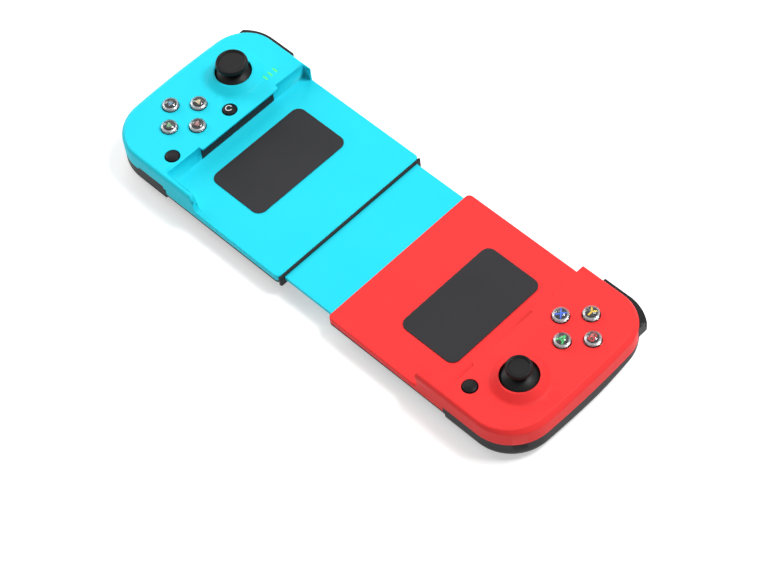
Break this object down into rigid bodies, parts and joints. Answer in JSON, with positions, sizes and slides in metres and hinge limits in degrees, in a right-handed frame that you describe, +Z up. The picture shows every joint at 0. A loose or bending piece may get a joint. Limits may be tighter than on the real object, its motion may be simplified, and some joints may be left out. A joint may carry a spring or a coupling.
{
  "type": "mobile game controller",
  "caption": "Telescopic game controller that clamps a phone: cyan left grip and red right grip with thumbsticks, round buttons and shoulder keys, joined by a slide plate.",
  "frame": {"origin": "bottom centre of the bounding box: middle of the length and depth, on the resting surface", "axes": "+X from the cyan left grip to the red right grip, +Y away from the player, +Z up through the faces of the grips"},
  "size_m": [0.239, 0.085, 0.0297],
  "materials": {
    "cyan_shell": "satin",
    "red_shell": "satin",
    "black_shell": "satin",
    "black_keys": "satin",
    "button_gloss": "gloss",
    "stick_rubber": "matte",
    "pad_rubber": "matte",
    "inner_plastic": "matte",
    "board": "satin",
    "flex": "satin",
    "cell": "satin",
    "light": "gloss",
    "steel": "satin"
  },
  "bodies": {
    "left_half": {"left_face_shell": "cyan_shell", "left_back_shell": "black_shell", "left_tray_end_cap": "black_shell", "left_end_pad": "pad_rubber", "left_tray_pad": "pad_rubber", "left_circuit_board": "board", "battery": "cell", "left_stick_base": "inner_plastic", "left_button_mat": "pad_rubber", "left_tact_switches": "inner_plastic", "light_pipe": "light", "left_screws": "steel", "left_trigger_pin": "steel", "left_trigger_spring": "steel", "slide_plate": "cyan_shell", "plate_screws": "steel", "charge_port": "steel", "link_cable": "flex"},
    "right_half": {"right_face_shell": "red_shell", "right_back_shell": "black_shell", "right_end_pad": "pad_rubber", "right_tray_pad": "pad_rubber", "right_circuit_board": "board", "right_stick_base": "inner_plastic", "right_button_mat": "pad_rubber", "right_tact_switch": "inner_plastic", "right_screws": "steel", "right_trigger_pin": "steel", "right_trigger_spring": "steel", "telescope_springs": "steel"},
    "left_stick_yoke": {"left_stick_yoke": "inner_plastic"},
    "left_stick_rocker": {"left_stick_rocker": "inner_plastic"},
    "left_stick_cap": {"left_stick_cap": "stick_rubber"},
    "right_stick_yoke": {"right_stick_yoke": "inner_plastic"},
    "right_stick_rocker": {"right_stick_rocker": "inner_plastic"},
    "right_stick_cap": {"right_stick_cap": "stick_rubber"},
    "dpad_up": {"dpad_up": "button_gloss"},
    "dpad_down": {"dpad_down": "button_gloss"},
    "dpad_left": {"dpad_left": "button_gloss"},
    "dpad_right": {"dpad_right": "button_gloss"},
    "turbo_button": {"turbo_button": "black_keys"},
    "select_button": {"select_button": "black_keys"},
    "button_a": {"button_a": "button_gloss"},
    "button_b": {"button_b": "button_gloss"},
    "button_x": {"button_x": "button_gloss"},
    "button_y": {"button_y": "button_gloss"},
    "home_button": {"home_button": "black_keys"},
    "left_bumper": {"left_bumper": "black_keys"},
    "left_trigger": {"left_trigger": "black_keys"},
    "right_bumper": {"right_bumper": "black_keys"},
    "right_trigger": {"right_trigger": "black_keys"}
  },
  "joints": [
    {"name": "telescope", "type": "slide", "parent": "left_half", "child": "right_half", "axis": [1, 0, 0], "range_m": [-0.027, 0.012], "deforming": ["telescope_springs", "link_cable"]},
    {"name": "left_stick_tilt_y", "type": "hinge", "parent": "left_half", "child": "left_stick_yoke", "pos_m": [-0.09783, 0.0151, 0.013], "axis": [1, 0, 0], "range_deg": [-16, 16], "stiffness_Nm_per_rad": 0.05},
    {"name": "left_stick_tilt_x", "type": "hinge", "parent": "left_stick_yoke", "child": "left_stick_rocker", "pos_m": [-0.09783, 0.0151, 0.013], "axis": [0, 1, 0], "range_deg": [-16, 16], "stiffness_Nm_per_rad": 0.05},
    {"name": "left_stick_click", "type": "slide", "parent": "left_stick_rocker", "child": "left_stick_cap", "axis": [0, 0, -1], "range_m": [0, 0.0005], "stiffness_N_per_m": 4000},
    {"name": "right_stick_tilt_y", "type": "hinge", "parent": "right_half", "child": "right_stick_yoke", "pos_m": [0.09859, -0.017, 0.013], "axis": [1, 0, 0], "range_deg": [-16, 16], "stiffness_Nm_per_rad": 0.05},
    {"name": "right_stick_tilt_x", "type": "hinge", "parent": "right_stick_yoke", "child": "right_stick_rocker", "pos_m": [0.09859, -0.017, 0.013], "axis": [0, 1, 0], "range_deg": [-16, 16], "stiffness_Nm_per_rad": 0.05},
    {"name": "right_stick_click", "type": "slide", "parent": "right_stick_rocker", "child": "right_stick_cap", "axis": [0, 0, -1], "range_m": [0, 0.0005], "stiffness_N_per_m": 4000},
    {"name": "dpad_up_press", "type": "slide", "parent": "left_half", "child": "dpad_up", "axis": [0, 0, -1], "range_m": [0, 0.0008], "stiffness_N_per_m": 600},
    {"name": "dpad_down_press", "type": "slide", "parent": "left_half", "child": "dpad_down", "axis": [0, 0, -1], "range_m": [0, 0.0008], "stiffness_N_per_m": 600},
    {"name": "dpad_left_press", "type": "slide", "parent": "left_half", "child": "dpad_left", "axis": [0, 0, -1], "range_m": [0, 0.0008], "stiffness_N_per_m": 600},
    {"name": "dpad_right_press", "type": "slide", "parent": "left_half", "child": "dpad_right", "axis": [0, 0, -1], "range_m": [0, 0.0008], "stiffness_N_per_m": 600},
    {"name": "turbo_button_press", "type": "slide", "parent": "left_half", "child": "turbo_button", "axis": [0, 0, -1], "range_m": [0, 0.0004], "stiffness_N_per_m": 1500},
    {"name": "select_button_press", "type": "slide", "parent": "left_half", "child": "select_button", "axis": [0, 0, -1], "range_m": [0, 0.0004], "stiffness_N_per_m": 1500},
    {"name": "button_a_press", "type": "slide", "parent": "right_half", "child": "button_a", "axis": [0, 0, -1], "range_m": [0, 0.0008], "stiffness_N_per_m": 600},
    {"name": "button_b_press", "type": "slide", "parent": "right_half", "child": "button_b", "axis": [0, 0, -1], "range_m": [0, 0.0008], "stiffness_N_per_m": 600},
    {"name": "button_x_press", "type": "slide", "parent": "right_half", "child": "button_x", "axis": [0, 0, -1], "range_m": [0, 0.0008], "stiffness_N_per_m": 600},
    {"name": "button_y_press", "type": "slide", "parent": "right_half", "child": "button_y", "axis": [0, 0, -1], "range_m": [0, 0.0008], "stiffness_N_per_m": 600},
    {"name": "home_button_press", "type": "slide", "parent": "right_half", "child": "home_button", "axis": [0, 0, -1], "range_m": [0, 0.0004], "stiffness_N_per_m": 1500},
    {"name": "left_bumper_press", "type": "hinge", "parent": "left_half", "child": "left_bumper", "pos_m": [-0.0914, 0.035, 0.0142], "axis": [0, 0, 1], "range_deg": [0, 1.5], "stiffness_Nm_per_rad": 3},
    {"name": "left_trigger_press", "type": "hinge", "parent": "left_half", "child": "left_trigger", "pos_m": [-0.09885, 0.034, 0.0094], "axis": [-1, 0, 0], "range_deg": [0, 10], "stiffness_Nm_per_rad": 0.06, "springref_deg": -5.73, "deforming": ["left_trigger_spring"]},
    {"name": "right_bumper_press", "type": "hinge", "parent": "right_half", "child": "right_bumper", "pos_m": [0.0914, 0.035, 0.0142], "axis": [0, 0, -1], "range_deg": [0, 1.5], "stiffness_Nm_per_rad": 3},
    {"name": "right_trigger_press", "type": "hinge", "parent": "right_half", "child": "right_trigger", "pos_m": [0.09885, 0.034, 0.0094], "axis": [-1, 0, 0], "range_deg": [0, 10], "stiffness_Nm_per_rad": 0.06, "springref_deg": -5.73, "deforming": ["right_trigger_spring"]}
  ]
}
